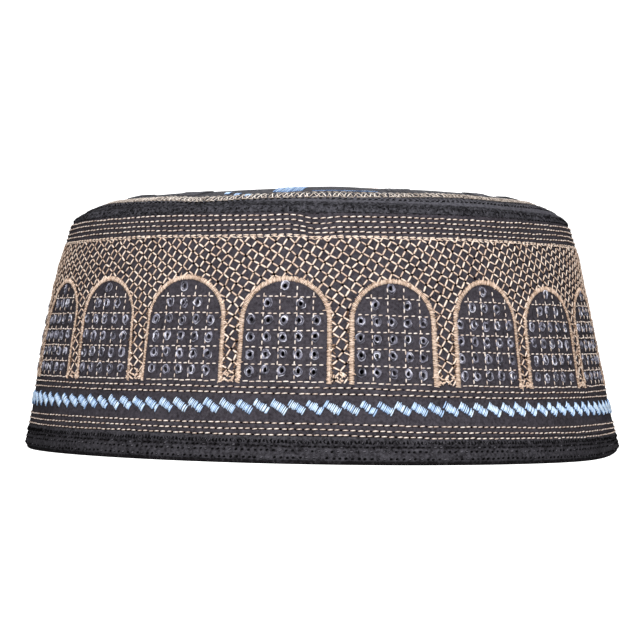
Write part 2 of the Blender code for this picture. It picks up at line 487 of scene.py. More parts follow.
class Loops:
    """Closed rings of thread gathered for one piece."""

    SEGMENTS = 12
    SIDES = 4

    def __init__(self):
        self.points = []
        self.shades = []
        self.uvs = []
        self.count = 0

    def lay(self, angle, height, across, up, thick, lift, waver):
        """Rings round (angle, height) places on the wall, with their half width and half
        height. waver is how uneven they are, as a share."""
        n = len(angle)
        turn = np.arange(self.SEGMENTS) / self.SEGMENTS * tau
        centre = on_wall(at(angle, height))
        right = unit(on_wall(at(angle + 0.01, height)) - centre)
        above = unit(on_wall(at(angle, height + MM)) - centre)
        normal = unit(np.cross(right, above))
        size = 1.0 + waver * seeded.normal(0.0, 1.0, (n, self.SEGMENTS))
        start = seeded.uniform(0, tau, n)[:, None]
        size = size * (1.0 + 0.7 * waver * np.cos(2 * turn + start))
        x = across * size * np.cos(turn)
        z = up * size * np.sin(turn)
        rise = lift + 0.12 * MM * seeded.normal(0.0, 1.0, (n, self.SEGMENTS))
        line = (centre[:, None] + right[:, None] * x[..., None] + above[:, None] * z[..., None]
                + normal[:, None] * rise[..., None])
        away = unit(line - centre[:, None])
        out = normal[:, None] * np.ones_like(line)
        thickness = thick * seeded.uniform(0.75, 1.25, (n, self.SEGMENTS))[..., None]
        ring = [line + 0.5 * thickness * offset for offset in (away, out, -away, -out)]
        self.points.append(np.stack(ring, 2).reshape(-1, 3))
        # Random tone along each ring; its brightest arcs are painted highlights on the thread.
        tone = seeded.uniform(0.1, 1.4, (n, self.SEGMENTS))
        tone = 0.5 * tone + 0.25 * (np.roll(tone, 1, 1) + np.roll(tone, -1, 1))
        self.shades.append(np.repeat(tone.ravel(), self.SIDES))
        u = np.broadcast_to(turn[:, None] * across / MM, (self.SEGMENTS, self.SIDES))
        v = np.broadcast_to(np.arange(self.SIDES) / self.SIDES, (self.SEGMENTS, self.SIDES))
        self.uvs.append(np.tile(np.stack([u, v], -1).reshape(-1, 2), (n, 1)))
        self.count += n

    def piece(self, name, finish, slot):
        """Makes the piece of all rings laid so far."""
        quads = []
        for segment in range(self.SEGMENTS):
            after = (segment + 1) % self.SEGMENTS
            for k in range(self.SIDES):
                beside = (k + 1) % self.SIDES
                quads.append([segment * self.SIDES + k, after * self.SIDES + k,
                              after * self.SIDES + beside, segment * self.SIDES + beside])
        faces = [repeated(quads, self.count, self.SEGMENTS * self.SIDES)]
        mesh_piece(name, np.concatenate(self.points), faces, finish,
                   np.concatenate(self.shades), np.concatenate(self.uvs))


# Cloth

def turned_cloth(name, section, steps, finish, relief=None):
    """A shell of cloth. Its section is a loop of (run, out) points, which is spun round the cap's
    axis. Each point then goes to its place on the cap, with the relief that its face has."""
    run, out = np.array(section, float).T
    deselect()
    bpy.ops.mesh.primitive_circle_add(vertices=len(section), radius=MM, fill_type="NOTHING")
    shell = bpy.context.object
    mesh = shell.data
    radius = np.interp(run, RUN, OUTLINE[:, 0])
    points = on_cap(np.zeros(len(run)), run, out)
    points[radius < 0.01 * MM, :2] = 0.0
    mesh.vertices.foreach_set("co", points.ravel())
    for label, values in (("run", run), ("out", out)):
        layer = mesh.attributes.new(label, "FLOAT", "POINT")
        layer.data.foreach_set("value", values)
    bpy.ops.object.mode_set(mode="EDIT")
    bpy.ops.mesh.select_all(action="SELECT")
    bpy.ops.mesh.spin(steps=steps, angle=tau, center=(0, 0, 0), axis=(0, 0, 1))
    bpy.ops.mesh.select_all(action="SELECT")
    bpy.ops.mesh.remove_doubles(threshold=0.004 * MM)
    bpy.ops.mesh.delete_loose()
    bpy.ops.mesh.select_all(action="SELECT")
    bpy.ops.mesh.normals_make_consistent(inside=False)
    bpy.ops.object.mode_set(mode="OBJECT")
    count = len(mesh.vertices)
    points, run, out = np.empty(count * 3), np.empty(count), np.empty(count)
    mesh.vertices.foreach_get("co", points)
    mesh.attributes["run"].data.foreach_get("value", run)
    mesh.attributes["out"].data.foreach_get("value", out)
    points = points.reshape(-1, 3)
    angle = np.arctan2(points[:, 0], -points[:, 1])
    if relief:
        out = out + relief(angle, run, out)
    mesh.vertices.foreach_set("co", on_cap(angle, run, out).ravel())
    for label in ("run", "out"):
        mesh.attributes.remove(mesh.attributes[label])
    mesh.update()
    bpy.ops.object.shade_smooth()
    return finish_piece(shell, name, finish)


def lay_weave(piece, flat=False):
    """The map of the cloth's weave, in millimetres: round and up, or straight on the crown."""
    mesh = piece.data
    points = np.empty(len(mesh.vertices) * 3)
    corner = np.empty(len(mesh.loops), np.int32)
    total = np.empty(len(mesh.polygons), np.int32)
    centre = np.empty(len(mesh.polygons) * 3)
    mesh.vertices.foreach_get("co", points)
    mesh.loops.foreach_get("vertex_index", corner)
    mesh.polygons.foreach_get("loop_total", total)
    mesh.polygons.foreach_get("center", centre)
    place = points.reshape(-1, 3)[corner]
    centre = centre.reshape(-1, 3)
    if flat:
        weave = place[:, :2] / MM
    else:
        middle = np.repeat(np.arctan2(centre[:, 0], -centre[:, 1]), total)
        angle = np.arctan2(place[:, 0], -place[:, 1])
        angle = middle + (angle - middle + pi) % tau - pi
        weave = np.stack([angle * RIM_RADIUS, place[:, 2]], 1) / MM
    layer = mesh.uv_layers.new(name="weave")
    layer.data.foreach_set("uv", weave.astype(np.float32).ravel())


# Finishes

def dye(red, green, blue):
    """A colour from its 0 to 255 values, in linear light."""
    channels = []
    for value in (red, green, blue):
        share = value / 255
        channels.append(share / 12.92 if share <= 0.04045 else ((share + 0.055) / 1.055) ** 2.4)
    return (*channels, 1.0)


def node(tree, kind, inputs=None, **settings):
    """A new node. Each input is a value, or another node's output that is joined to it."""
    made = tree.nodes.new("ShaderNode" + kind)
    for key, value in settings.items():
        setattr(made, key, value)
    for key, value in (inputs or {}).items():
        if isinstance(value, bpy.types.NodeSocket):
            tree.links.new(value, made.inputs[key])
        else:
            made.inputs[key].default_value = value
    return made


def calc(tree, operation, *values):
    """The result of a sum on values or other nodes' outputs."""
    return node(tree, "Math", dict(enumerate(values)), operation=operation).outputs[0]


def ramp(tree, factor, stops):
    """A colour read from a factor by its stops of (place, colour)."""
    made = node(tree, "ValToRGB", {"Fac": factor})
    elements = made.color_ramp.elements
    while len(elements) < len(stops):
        elements.new(0.5)
    for element, (place, colour) in zip(elements, stops):
        element.position = place
        element.color = colour
    return made.outputs["Color"]


def noise(tree, place, scale, detail=2.0, roughness=0.5):
    """Soft random spots, from 0 to 1. scale is how many there are in a metre."""
    return node(tree, "TexNoise", {"Vector": place, "Scale": scale, "Detail": detail,
                                   "Roughness": roughness}).outputs["Fac"]


def vary(tree, tone, spots, share):
    """The tone, with spots that lighten and darken it by a share."""
    return calc(tree, "ADD", tone, calc(tree, "MULTIPLY", calc(tree, "SUBTRACT", spots, 0.5), share))


def new_finish(name, roughness, specular):
    """A new material, its tree of nodes and its shader."""
    finish = bpy.data.materials.new(name)
    finish.use_nodes = True
    shader = finish.node_tree.nodes["Principled BSDF"]
    shader.inputs["Roughness"].default_value = roughness
    shader.inputs["Specular IOR Level"].default_value = specular
    return finish, finish.node_tree, shader


def cloth_finish(name, dark, light, pitch=0.62, patches=0.0, bands=None):
    """Woven cloth. pitch is its weave in millimetres, and patches how much it is mottled in spots
    a few threads wide. bands are heights in millimetres, in order, and how much lighter the cloth
    is there."""
    finish, tree, shader = new_finish(name, 0.9, 0.12)
    place = node(tree, "TexCoord").outputs["Object"]
    weave = node(tree, "UVMap", uv_map="weave").outputs["UV"]
    parts = node(tree, "SeparateXYZ", {"Vector": weave})
    turn = tau / pitch
    slack = calc(tree, "MULTIPLY", noise(tree, place, 700.0), 4.0)
    warp, weft = (calc(tree, "SINE", calc(tree, "ADD", calc(tree, "MULTIPLY", along, turn), slack))
                  for along in (parts.outputs["X"], parts.outputs["Y"]))
    threads = calc(tree, "MULTIPLY", warp, weft)
    fine = noise(tree, place, 1300.0, 3.0, 0.65)
    broad = noise(tree, place, 140.0, 4.0, 0.65)
    tone = calc(tree, "MULTIPLY", threads, 0.10)
    tone = vary(tree, tone, fine, 1.5)
    tone = vary(tree, tone, broad, 0.7)
    if patches:
        tone = vary(tree, tone, noise(tree, place, 1050.0, 1.0), patches)
    if bands:
        low, high = bands[0][0], bands[-1][0]
        share = calc(tree, "DIVIDE", calc(tree, "SUBTRACT", parts.outputs["Y"], low), high - low)
        stops = [((z - low) / (high - low), (0.5 + more,) * 3 + (1.0,)) for z, more in bands]
        tone = vary(tree, tone, ramp(tree, share, stops), 1.0)
    tone = calc(tree, "ADD", tone, 0.5)
    colour = ramp(tree, tone, [(0.0, dark), (1.0, light)])
    tree.links.new(colour, shader.inputs["Base Color"])
    rough = calc(tree, "ADD", 0.82, calc(tree, "MULTIPLY", fine, 0.16))
    tree.links.new(rough, shader.inputs["Roughness"])
    height = calc(tree, "ADD", calc(tree, "MULTIPLY", threads, 0.4), fine)
    bump = node(tree, "Bump", {"Height": height, "Distance": 0.16 * MM, "Strength": 0.9})
    tree.links.new(bump.outputs["Normal"], shader.inputs["Normal"])
    return finish


def thread_finish(name, deep, shade, middle, light, roughness=0.5, specular=0.25):
    """Twisted embroidery thread. Its shade attribute holds each thread's random tone together with
    painted light: painted shade at its sunk ends, near them and on its sides, and a painted
    highlight on its top.
    """
    finish, tree, shader = new_finish(name, roughness, specular)
    place = node(tree, "TexCoord").outputs["Object"]
    own = node(tree, "Attribute", attribute_name="shade").outputs["Fac"]
    parts = node(tree, "SeparateXYZ", {"Vector": node(tree, "UVMap", uv_map="thread").outputs["UV"]})
    twist = calc(tree, "ADD", calc(tree, "MULTIPLY", parts.outputs["X"], tau / 0.55),
                 calc(tree, "MULTIPLY", parts.outputs["Y"], tau * 2))
    stripe = calc(tree, "SINE", twist)
    fine = noise(tree, place, 1500.0)
    tone = calc(tree, "ADD", own, calc(tree, "MULTIPLY", stripe, 0.05))
    tone = calc(tree, "MULTIPLY", vary(tree, tone, fine, 0.22), 0.8)
    # Painted light: the four stops are the thread's one colour in deep shade, in shade, in middle light
    # and in a painted highlight.
    colour = ramp(tree, tone, [(0.26, deep), (0.52, shade), (0.74, middle), (0.90, light)])
    tree.links.new(colour, shader.inputs["Base Color"])
    rough = calc(tree, "ADD", roughness - 0.06, calc(tree, "MULTIPLY", fine, 0.14))
    tree.links.new(rough, shader.inputs["Roughness"])
    bump = node(tree, "Bump", {"Height": stripe, "Distance": 0.04 * MM, "Strength": 0.6})
    tree.links.new(bump.outputs["Normal"], shader.inputs["Normal"])
    return finish


def white_stage_finish(name, brightness):
    """A floor that the camera sees as white, except inside the cap, and that sends little light
    back."""
    finish = bpy.data.materials.new(name)
    finish.use_nodes = True
    tree = finish.node_tree
    tree.nodes.clear()
    seen = node(tree, "LightPath").outputs["Is Camera Ray"]
    place = node(tree, "TexCoord").outputs["Object"]
    away = node(tree, "VectorMath", {0: place}, operation="LENGTH").outputs["Value"]
    outside = calc(tree, "GREATER_THAN", away, 0.9 * RIM_RADIUS)
    glow = node(tree, "Emission", {"Color": (1, 1, 1, 1), "Strength": brightness})
    matt = node(tree, "BsdfDiffuse", {"Color": (0.35, 0.35, 0.35, 1)})
    share = calc(tree, "MULTIPLY", seen, outside)
    mixed = node(tree, "MixShader", {0: share, 1: matt.outputs[0], 2: glow.outputs[0]})
    node(tree, "OutputMaterial", {"Surface": mixed.outputs[0]})
    return finish


charcoal_cloth = cloth_finish("charcoal_cloth", dye(31, 28, 32), dye(77, 73, 80), patches=0.8)
# The hem's bands paint shade: dark on its underside, below 1.3 mm, and along its groove at 5 mm.
hem_cloth = cloth_finish("hem_cloth", dye(18, 16, 19), dye(82, 80, 86), pitch=0.5, patches=1.0,
                         bands=((0.0, -0.9), (0.9, -0.8), (1.3, -0.06), (4.4, -0.08), (5.0, -0.38),
                                (5.6, -0.15), (7.0, -0.05), (8.0, 0.0)))
shoulder_dark_cloth = cloth_finish("shoulder_dark_cloth", dye(18, 17, 20), dye(88, 87, 94), pitch=0.5,
                                   patches=1.5,
                                   bands=((71.0, -0.12), (72.6, -0.12), (73.3, -0.35), (74.2, -0.2),
                                          (74.7, 0.34), (77.0, 0.45)))
crown_grey_cloth = cloth_finish("crown_grey_cloth", dye(44, 43, 47), dye(92, 92, 98))
# Each thread's four colours: the thread in deep shade, in shade, in middle light and in a painted
# highlight.
tan_thread = thread_finish("tan_thread", dye(26, 15, 10), dye(148, 114, 91), dye(238, 215, 197),
                           dye(255, 245, 233))
pale_thread = thread_finish("pale_thread", dye(26, 15, 11), dye(140, 112, 96), dye(236, 220, 208),
                            dye(255, 249, 243))
satin_thread = thread_finish("satin_thread", dye(62, 42, 30), dye(158, 126, 102), dye(230, 203, 182),
                             dye(254, 234, 217))
ring_thread = thread_finish("ring_thread", dye(52, 44, 40), dye(146, 132, 121), dye(228, 216, 205),
                            dye(255, 250, 243))
blue_thread = thread_finish("blue_thread", dye(22, 34, 64), dye(104, 142, 198), dye(198, 226, 254),
                            dye(242, 251, 255))
grey_thread = thread_finish("grey_thread", dye(34, 33, 38), dye(92, 91, 102), dye(154, 153, 170),
                            dye(234, 234, 246))
dark_thread = thread_finish("dark_thread", dye(34, 34, 37), dye(56, 56, 60), dye(82, 82, 88),
                            dye(116, 116, 122))
# Black thread's lightest colour is a painted glint: the few stitches whose shade reaches it show as
# light flecks.
black_thread = thread_finish("black_thread", dye(2, 2, 3), dye(5, 5, 6), dye(12, 11, 13),
                             dye(96, 94, 100), roughness=0.7, specular=0.05)
needle_shadow = thread_finish("needle_shadow", dye(22, 14, 11), dye(22, 14, 11), dye(22, 14, 11),
                              dye(22, 14, 11), roughness=0.9, specular=0.0)


# Pieces of cloth

# The hem's outer face: heights, and how far it stands out of the wall's line
HEM_FACE = (np.array([0.0, 0.15, 0.45, 0.85, 1.05, 1.35, 1.8, 2.7, 3.75, 4.4, 5.0, 5.7, 6.4, 7.1,
                      7.75]) * MM,
            np.array([-1.40, -0.90, -0.50, -0.34, -0.30, 0.12, 0.14, 0.36, 0.10, 0.26, -0.16, 0.32,
                      0.10, 0.18, -0.05]) * MM)

# Stitched rows press the cloth in and it swells between them: row heights in order
PRESSED_ROWS = np.array(sorted(FOOT_ROWS + MIDDLE_ROWS + [ARCH_FOOT, NET_TOP] + TOP_ROWS))
SWELL = 0.22 * MM
WIDEST_SWELL = 2.2 * MM


def row_swell(angle, run, out):
    """The wall's swelling between rows of stitches that lie close together."""
    height = np.interp(run, RUN, OUTLINE[:, 1])
    height = height - np.where(height > NET_TOP, wander(angle), sag(angle))
    above = np.clip(np.searchsorted(PRESSED_ROWS, height), 1, len(PRESSED_ROWS) - 1)
    low, high = PRESSED_ROWS[above - 1], PRESSED_ROWS[above]
    share = np.clip((height - low) / (high - low), 0.0, 1.0)
    swell = np.where(high - low < WIDEST_SWELL, SWELL * (np.sin(pi * share) - 0.4), 0.0)
    inside = (height > PRESSED_ROWS[0]) & (height < PRESSED_ROWS[-1]) & (out > -0.5 * SIDE_CLOTH)
    return np.where(inside, swell, 0.0)


def make_side_cloth():
    """The wall, from inside the hem to the shoulder, pierced by its eyelets."""
    close = list(np.arange(8.4, 13.0, 0.4)) + list(np.arange(18.6, 23.6, 0.4))
    open_field = [13.8, 15.0, 16.2, 17.4] + list(np.arange(25.5, 63.0, 2.5))
    top = list(np.arange(63.4, 71.3, 0.4))
    outer = [(5.6, -1.45), (7.1, -1.4), (7.7, -0.75), (8.05, -0.12)]
    outer += [(height, 0.0) for height in sorted(close + open_field + top)]
    section = [(run_at_height(z * MM), out * MM) for z, out in outer]
    inner = [70.9, 66.0, 58.0, 50.0, 42.0, 34.0, 26.0, 18.0, 11.0]
    section += [(run_at_height(z * MM), -SIDE_CLOTH) for z in inner]
    section += [(run_at_height(z * MM), -1.45 * MM - SIDE_CLOTH) for z in (7.4, 5.6)]
    piece = turned_cloth("side_cloth", section, STEPS, charcoal_cloth, row_swell)
    pierce(piece)
    lay_weave(piece)
    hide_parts("side_band")


def eyelet_places():
    """Angle and height of each eyelet."""
    places = []
    for number, arch in enumerate(ARCH_TABLE):
        for row in range(6):
            if row < 4:
                columns = (-2, -1, 0, 1, 2)
            elif row == 4:
                columns = (-1, 1) if number in MIDDLE_ARCHES else (-1, 0, 1)
            else:
                columns = (0,)
            height = ARCH_FOOT + (row + 0.5) * CELL_HEIGHT + EYELET_LIFT
            middle = 0.5 * sum(arch_legs(arch, height))
            for column in columns:
                across = column * EYELET_PITCH + EYELET_SHIFT
                places.append((middle + across / wall_radius(height), height))
    places = np.array(places)
    radius = wall_radius(places[:, 1])
    places[:, 0] += seeded.normal(0.0, 0.16 * MM, len(places)) / radius
    places[:, 1] += sag(places[:, 0]) + seeded.normal(0.0, 0.14 * MM, len(places))
    return places


EYELETS = eyelet_places()


def pierce(piece):
    """Cuts an oval hole through the wall at each eyelet."""
    sides = 8
    turn = np.arange(sides) / sides * tau
    angle, height = EYELETS[:, :1], EYELETS[:, 1:]
    wide = HOLE_WIDTH * seeded.uniform(0.8, 1.15, (len(EYELETS), 1))
    tall = HOLE_HEIGHT * seeded.uniform(0.8, 1.15, (len(EYELETS), 1))
    ring_angle = angle + 0.5 * wide * np.cos(turn) / wall_radius(height)
    ring_height = height + 0.5 * tall * np.sin(turn)
    places = at(ring_angle, ring_height)
    front = on_wall(places, 1.5 * MM)
    back = on_wall(places, -SIDE_CLOTH - 1.5 * MM)
    points = np.concatenate([front, back], 1).reshape(-1, 3)
    faces = []
    for number in range(len(EYELETS)):
        base = number * 2 * sides
        faces.append([base + k for k in range(sides)])
        faces.append([base + sides + k for k in reversed(range(sides))])
        for k in range(sides):
            beside = (k + 1) % sides
            faces.append([base + k, base + sides + k, base + sides + beside, base + beside])
    mesh = bpy.data.meshes.new("eyelet_cutter")
    mesh.from_pydata(points.tolist(), [], faces)
    cutter = bpy.data.objects.new("eyelet_cutter", mesh)
    bpy.context.collection.objects.link(cutter)
    deselect()
    bpy.context.view_layer.objects.active = piece
    piece.select_set(True)
    cut = piece.modifiers.new("eyelets", "BOOLEAN")
    cut.operation = "DIFFERENCE"
    cut.solver = "EXACT"
    cut.object = cutter
    bpy.ops.object.modifier_apply(modifier="eyelets")
    bpy.data.objects.remove(cutter, do_unlink=True)
    bpy.data.meshes.remove(mesh)
    bpy.ops.object.shade_smooth_by_angle(angle=radians(40))


def make_hem_binding():
    """The folded binding, whose two legs hold the wall's foot between them."""
    heights, outs = HEM_FACE
    lean = -SLOPE[0, 0]
    section = [(run_at_height(max(z, -lean * out)), out) for z, out in zip(heights, outs)]
    legs = [(7.95, -0.5), (7.75, -1.0), (7.4, -1.15), (1.2, -1.15), (1.2, -3.55), (7.4, -3.55),
            (7.75, -3.7), (7.95, -4.0), (7.7, -4.35), (6.8, -4.5), (3.8, -4.5), (0.8, -4.5),
            (0.15, -4.2), (0.0, -3.6)]
    section += [(run_at_height((z - lean * out) * MM), out * MM) for z, out in legs]
    piece = turned_cloth("hem_binding", section, 2 * STEPS, hem_cloth, hem_relief)
    lay_weave(piece)
    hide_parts("hem_band")


def hem_relief(angle, run, out):
    """Small unevenness along the hem's outer face."""
    height = np.interp(run, RUN, OUTLINE[:, 1])
    free = np.clip(height / (1.5 * MM), 0.0, 1.0) * (out > -1.0 * MM)
    puff = np.sin(131 * angle + 1.3 * np.sin(7 * angle)) * np.sin(pi * height / (2.6 * MM) + 3 * angle)
    return 0.05 * MM * free * puff


# Shoulder: radius of its light ridge, and of the crown's edge
RIDGE_RADIUS = 74.3 * MM
CROWN_EDGE = 70.6 * MM
PUCKERS = 223
PUCKER_DEPTH = 0.42 * MM


def shoulder_relief(angle, run, out):
    """Upright puckers from the wall to the ridge, and the ridge itself."""
    radius = np.interp(run, RUN, OUTLINE[:, 0])
    start, ridge = run_at_height(SIDE_HEIGHT), run_at_radius(RIDGE_RADIUS)
    share = np.clip((run - start) / (ridge - start), 0.0, 1.0)
    lean = angle + 0.010 * share * np.sin(3.1 * angle)
    strength = 0.65 + 0.35 * np.sin(17 * angle + 1.1) * np.sin(6 * angle)
    folds = np.sin(PUCKERS * lean + 1.6 * np.sin(11 * angle) + 0.9 * np.sin(29 * angle))
    folds = folds * np.sin(pi * share ** 0.8) * strength
    rise = np.exp(-((radius - RIDGE_RADIUS) / (0.42 * MM)) ** 2)
    outside = out > -0.5 * SIDE_CLOTH
    return np.where(outside, PUCKER_DEPTH * folds + 0.32 * MM * rise, 0.0)


def make_shoulder_cloth():
    """The dark stitched shoulder between the wall and the crown."""
    start = run_at_height(SIDE_HEIGHT) + 0.2 * MM
    end = run_at_radius(CROWN_EDGE)
    outer = np.linspace(start, end, 20)
    section = [(start - 0.3 * MM, -0.5 * MM)] + [(run, 0.0) for run in outer]
    section += [(run, -SIDE_CLOTH) for run in outer[::-3]]
    piece = turned_cloth("shoulder_cloth", section, 4 * PUCKERS, shoulder_dark_cloth,
                         shoulder_relief)
    lay_weave(piece)
    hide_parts("crown_seam")


def make_crown_cloth():
    """The round top, its edge laid over the shoulder's."""
    start = run_at_radius(CROWN_EDGE) - 0.1 * MM
    outer = np.linspace(start, MIDDLE_RUN, 42)
    section = [(run, 0.0) for run in outer]
    section += [(run, -CROWN_CLOTH) for run in outer[::-3]]
    piece = turned_cloth("crown_cloth", section, STEPS, crown_grey_cloth)
    lay_weave(piece, flat=True)
    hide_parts("crown_panel")


# Embroidery on the wall

def row_angles(radius, pitch):
    """Angles of the middles of a row's stitches, all round the cap."""
    count = round(tau * radius / pitch)
    angles = (np.arange(count) + seeded.uniform(0, 1)) * tau / count
    return angles + seeded.normal(0.0, 0.06, count) * tau / count


def running_row(stitches, field, height, radius, rise=0.16 * MM, length=ROW_STITCH, pitch=ROW_PITCH,
                moved=None, **thread):
    """A row of running stitches all round, and the places between them. rise is how much higher
    each one ends, and moved gives how far the row wanders at an angle."""
    angles = row_angles(radius, pitch)
    half = 0.5 * length / radius * seeded.uniform(0.9, 1.08, len(angles))
    waver = seeded.normal(0.0, 0.05 * MM, len(angles)) + 0.07 * MM * np.sin(9 * angles + height * 900)
    heights = height + waver
    turn = 0.5 * rise * seeded.uniform(0.4, 1.6, len(angles))
    before, after = angles - half, angles + half
    low, high = heights - turn, heights + turn
    if moved:
        low, high = low + moved(before), high + moved(after)
    stitches.sew(field, at(before, low), at(after, high), **thread)
    return at(0.5 * (after + np.roll(before, -1)), high)[:-1]


def make_running_rows():
    """The four rows at the top, the two over the blue band and the three over the hem, with the
    painted shade of the needle holes between their stitches, and the crowded border of the net."""
    rows = Stitches()
    between = []
    # These rows' stitches are narrower and darker near their ends: painted shade where they dip into the
    # cloth.
    shape_and_painted_end_shade = dict(width=0.47 * MM, near_end=0.82, swell=(0.80, 1.0, 0.86), crown=0.12 * MM)
    for height in TOP_ROWS:
        between.append(running_row(rows, on_wall, height, wall_radius(height), moved=wander, **shape_and_painted_end_shade))
    for height in MIDDLE_ROWS + FOOT_ROWS:
        between.append(running_row(rows, on_wall, height, wall_radius(height), moved=sag, **shape_and_painted_end_shade))
    rows.piece("running_rows", pale_thread, "side_cloth")
    places = np.concatenate(between) - (0.0, 0.12 * MM)
    needle_hole_shadows("row_hole_shadows", places, 0.25 * MM, 1.5)
    border = Stitches()
    for height, rise in ((NET_TOP + 0.38 * MM, 0.18 * MM), (NET_TOP - 0.18 * MM, -0.30 * MM),
                         (NET_TOP + 0.10 * MM, 0.62 * MM)):
        running_row(border, on_wall, height, wall_radius(height), rise=rise, length=1.95 * MM,
                    moved=lambda angle: 0.6 * wander(angle), width=0.36 * MM)
    border.piece("net_border", tan_thread, "side_cloth")


def make_net():
    """The slanted net over and between the arches, with the painted shade of the needle holes at its
    knots.
    """
    down, up = np.array(NET_DOWN) * MM, np.array(NET_UP) * MM
    around = NET_AROUND[0] * down + NET_AROUND[1] * up
    stretch = tau * NET_RADIUS / around[0]
    down[1] -= around[1] / NET_AROUND[0]
    down[0], up[0] = down[0] * stretch, up[0] * stretch
    along, across = np.meshgrid(NET_COLUMNS, NET_ROWS, indexing="ij")
    knots = along[..., None] * down + across[..., None] * up
    knots[..., 1] += ARCH_FOOT
    keep = (knots[..., 0] >= 0) & (knots[..., 0] < tau * NET_RADIUS)
    keep &= (knots[..., 1] > ARCH_FOOT - 4 * MM) & (knots[..., 1] < NET_TOP + 4 * MM)
    knots = knots[keep]
    net = Stitches()
    for side, width, slack in ((down, 0.60 * MM, 0.05), (up, 0.64 * MM, 0.03)):
        starts, ends = knots + slack * side, knots + (1 - slack) * side
        starts = at(starts[:, 0] / NET_RADIUS, starts[:, 1])
        ends = at(ends[:, 0] / NET_RADIUS, ends[:, 1])
        middle = 0.5 * (starts + ends)
        inside = in_arch(middle[:, 0], middle[:, 1], 0.55 * MM)
        top, low = np.maximum(starts[:, 1], ends[:, 1]), np.minimum(starts[:, 1], ends[:, 1])
        fits = ~inside & (middle[:, 1] < NET_TOP - 0.2 * MM) & (low > ARCH_FOOT - 0.9 * MM)
        fits &= top < NET_TOP + 0.9 * MM
        starts, ends = starts[fits], ends[fits]
        count = len(starts)
        for places in (starts, ends):
            places[:, 0] += seeded.normal(0.0, 0.15 * MM, count) / NET_RADIUS
            places[:, 1] += seeded.normal(0.0, 0.15 * MM, count)
        net.sew(on_wall, starts, ends, width=width, flat=0.5, lift=0.08 * MM, near_end=0.88)
    angle, height = knots[:, 0] / NET_RADIUS, knots[:, 1]
    fits = ~in_arch(angle, height, 0.9 * MM) & (height < NET_TOP - 0.4 * MM) & (height > ARCH_FOOT)
    net.piece("net", tan_thread, "side_cloth")
    needle_hole_shadows("net_hole_shadows", at(angle, height)[fits], 0.45 * MM)


def needle_hole_shadows(name, places, radius, stretch=1.0):
    """Painted shade of the small pits where the thread goes through the cloth: flat dark beads of
    six sides. stretch is how much wider than high they are."""
    sides = 6
    turn = np.arange(sides) / sides * tau
    angle, height = places[:, :1], places[:, 1:]
    size = radius * seeded.uniform(0.8, 1.2, (len(places), 1))
    ring = at(angle + stretch * size * np.cos(turn) / wall_radius(height),
              height + size * np.sin(turn))
    points = np.concatenate([on_wall(places, 0.05 * MM)[:, None], on_wall(ring, 0.02 * MM),
                             on_wall(places, -0.05 * MM)[:, None]], 1).reshape(-1, 3)
    tris = []
    for k in range(sides):
        beside = (k + 1) % sides
        tris.append([0, 1 + k, 1 + beside])
        tris.append([sides + 1, 1 + beside, 1 + k])
    faces = [repeated(tris, len(places), sides + 2)]
    mesh_piece(name, points, faces, needle_shadow, np.zeros(len(points)),
               np.zeros((len(points), 2)))


def arch_path(arch, spacing):
    """Evenly spaced places along the middle line of an arch's satin, in metres round and up, and
    the line's directions there."""
    wide = 0.5 * (arch.right - arch.left) * wall_radius(ARCH_FOOT)
    leg = np.linspace(ARCH_FOOT - 0.3 * MM, ARCH_SPRING, 30)[:-1]
    turn = np.linspace(0.0, pi, 120)
    across = np.concatenate([np.full(len(leg), -wide), -wide * np.cos(turn), np.full(len(leg), wide)])
    height = np.concatenate([leg, ARCH_SPRING + (arch.top - ARCH_SPRING) * np.sin(turn),
                             leg[::-1]])
    line = smooth_line(np.stack([across, height], 1), spacing, 0)
    direction = np.gradient(line, axis=0)
    direction /= np.linalg.norm(direction, axis=1)[:, None]
    return line, direction


def arch_places(arch, line):
    """Turns an arch's places in metres round and up into (angle, height) places."""
    left, right = arch_legs(arch, line[:, 1])
    angle = 0.5 * (left + right) + line[:, 0] / wall_radius(ARCH_FOOT)
    return at(angle, line[:, 1] + sag(angle))


def sew_satin(satin, arch, line, direction, wide):
    """Close threads across an arch's line, and stray ones over them. wide is half the satin's
    width at each place of the line."""
    normal = np.stack([-direction[:, 1], direction[:, 0]], 1)
    n = len(line)
    outer = line + normal * (wide * seeded.uniform(0.82, 1.26, n))[:, None]
    inner = line - normal * (wide * seeded.uniform(0.94, 1.08, n))[:, None]
    slant = direction * seeded.normal(0.10 * MM, 0.09 * MM, n)[:, None]
    satin.sew(on_wall, arch_places(arch, outer + slant), arch_places(arch, inner - slant),
              width=0.40 * MM, lift=seeded.uniform(0.08, 0.20, n) * MM, crown=0.16 * MM, flat=0.7,
              sink=0.1 * MM, shade=(0.84, 1.16), end_shade=0.35)
    stray = seeded.choice(n, n // 3, replace=False)
    aside = seeded.uniform(0.2, 0.75, (len(stray), 1)) * seeded.choice([-1, 1], (len(stray), 1))
    middle = line[stray] + normal[stray] * wide[stray, None] * aside
    reach = (normal[stray] * seeded.normal(0.0, 0.42 * MM, (len(stray), 1))
             + direction[stray] * seeded.normal(0.0, 0.40 * MM, (len(stray), 1)))
    satin.sew(on_wall, arch_places(arch, middle - reach), arch_places(arch, middle + reach),
              width=0.30 * MM, lift=0.26 * MM, crown=0.10 * MM, sink=0.0, shade=(0.6, 1.15),
              end_shade=0.5)


def ribbon(arch, line, direction, wide, base):
    """Points and faces of the raised ribbon under an arch's satin, counted from base."""
    normal = np.stack([-direction[:, 1], direction[:, 0]], 1)
    across = normal * 0.84 * wide[:, None]
    edges = [on_wall(arch_places(arch, line + share * across), out * MM)
             for share, out in ((1.0, -0.2), (0.55, 0.14), (-0.55, 0.14), (-1.0, -0.2))]
    start = base + 4 * np.arange(len(line) - 1)
    faces = []
    for k in range(4):
        beside = (k + 1) % 4
        faces.append(np.stack([start + k, start + beside, start + 4 + beside, start + 4 + k], 1))
    last = base + 4 * (len(line) - 1)
    faces.append(np.array([[base + 3, base + 2, base + 1, base],
                           [last, last + 1, last + 2, last + 3]]))
    return np.stack(edges, 1).reshape(-1, 3), np.concatenate(faces)


